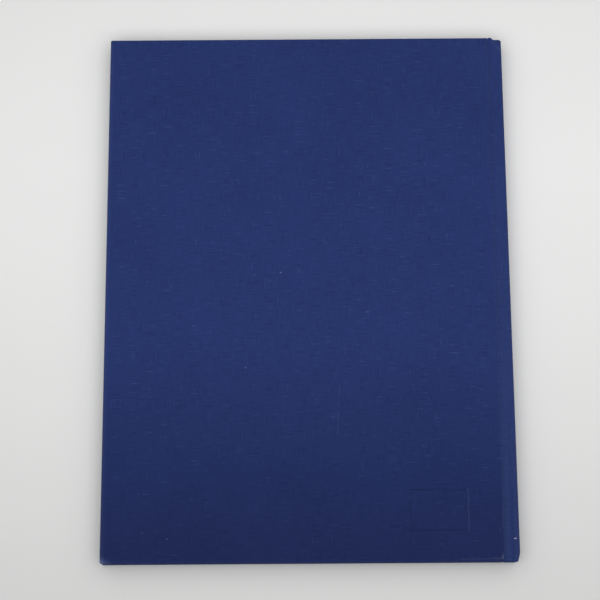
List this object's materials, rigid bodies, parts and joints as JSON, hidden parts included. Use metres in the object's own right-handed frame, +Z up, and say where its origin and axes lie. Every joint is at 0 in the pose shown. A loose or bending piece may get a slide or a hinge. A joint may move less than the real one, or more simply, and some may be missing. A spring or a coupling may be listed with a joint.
{
  "type": "school yearbook",
  "caption": "Hardcover school yearbook in plain blue book cloth, lying on its front cover; both covers swing open on cloth joints beside a flat spine.",
  "frame": {"origin": "middle of the front cover's outer face, on the surface that the book lies on (bottom centre of the bounding box)", "axes": "+X from the fore edge to the spine, +Y from the tail to the head of the pages, +Z up out of the back cover"},
  "size_m": [0.235, 0.3112, 0.012],
  "materials": {
    "book_cloth": "fine plain-woven book cloth, royal blue, matt",
    "greyboard": "raw grey binder's board",
    "page_paper": "smooth coated text paper, cut edges",
    "endpaper": "heavy uncoated endpaper",
    "lining_paper": "brown kraft spine lining",
    "band_thread": "woven band with blue and white threads"
  },
  "bodies": {
    "book_block": {"text_block": "page_paper", "spine_lining": "lining_paper", "head_band": "band_thread", "tail_band": "band_thread", "back_flyleaf": "endpaper", "front_flyleaf": "endpaper", "spine_board": "greyboard", "spine_cloth": "book_cloth"},
    "back_cover": {"back_board": "greyboard", "back_cover_cloth": "book_cloth", "back_pastedown": "endpaper"},
    "front_cover": {"front_board": "greyboard", "front_cover_cloth": "book_cloth", "front_pastedown": "endpaper"}
  },
  "joints": [
    {"name": "back_cover_hinge", "type": "hinge", "parent": "book_block", "child": "back_cover", "pos_m": [0.1143, 0, 0.00945], "axis": [0, 1, 0], "range_deg": [0, 179]},
    {"name": "front_cover_hinge", "type": "hinge", "parent": "book_block", "child": "front_cover", "pos_m": [0.1143, 0, 0.00255], "axis": [0, -1, 0], "range_deg": [0, 179]}
  ]
}
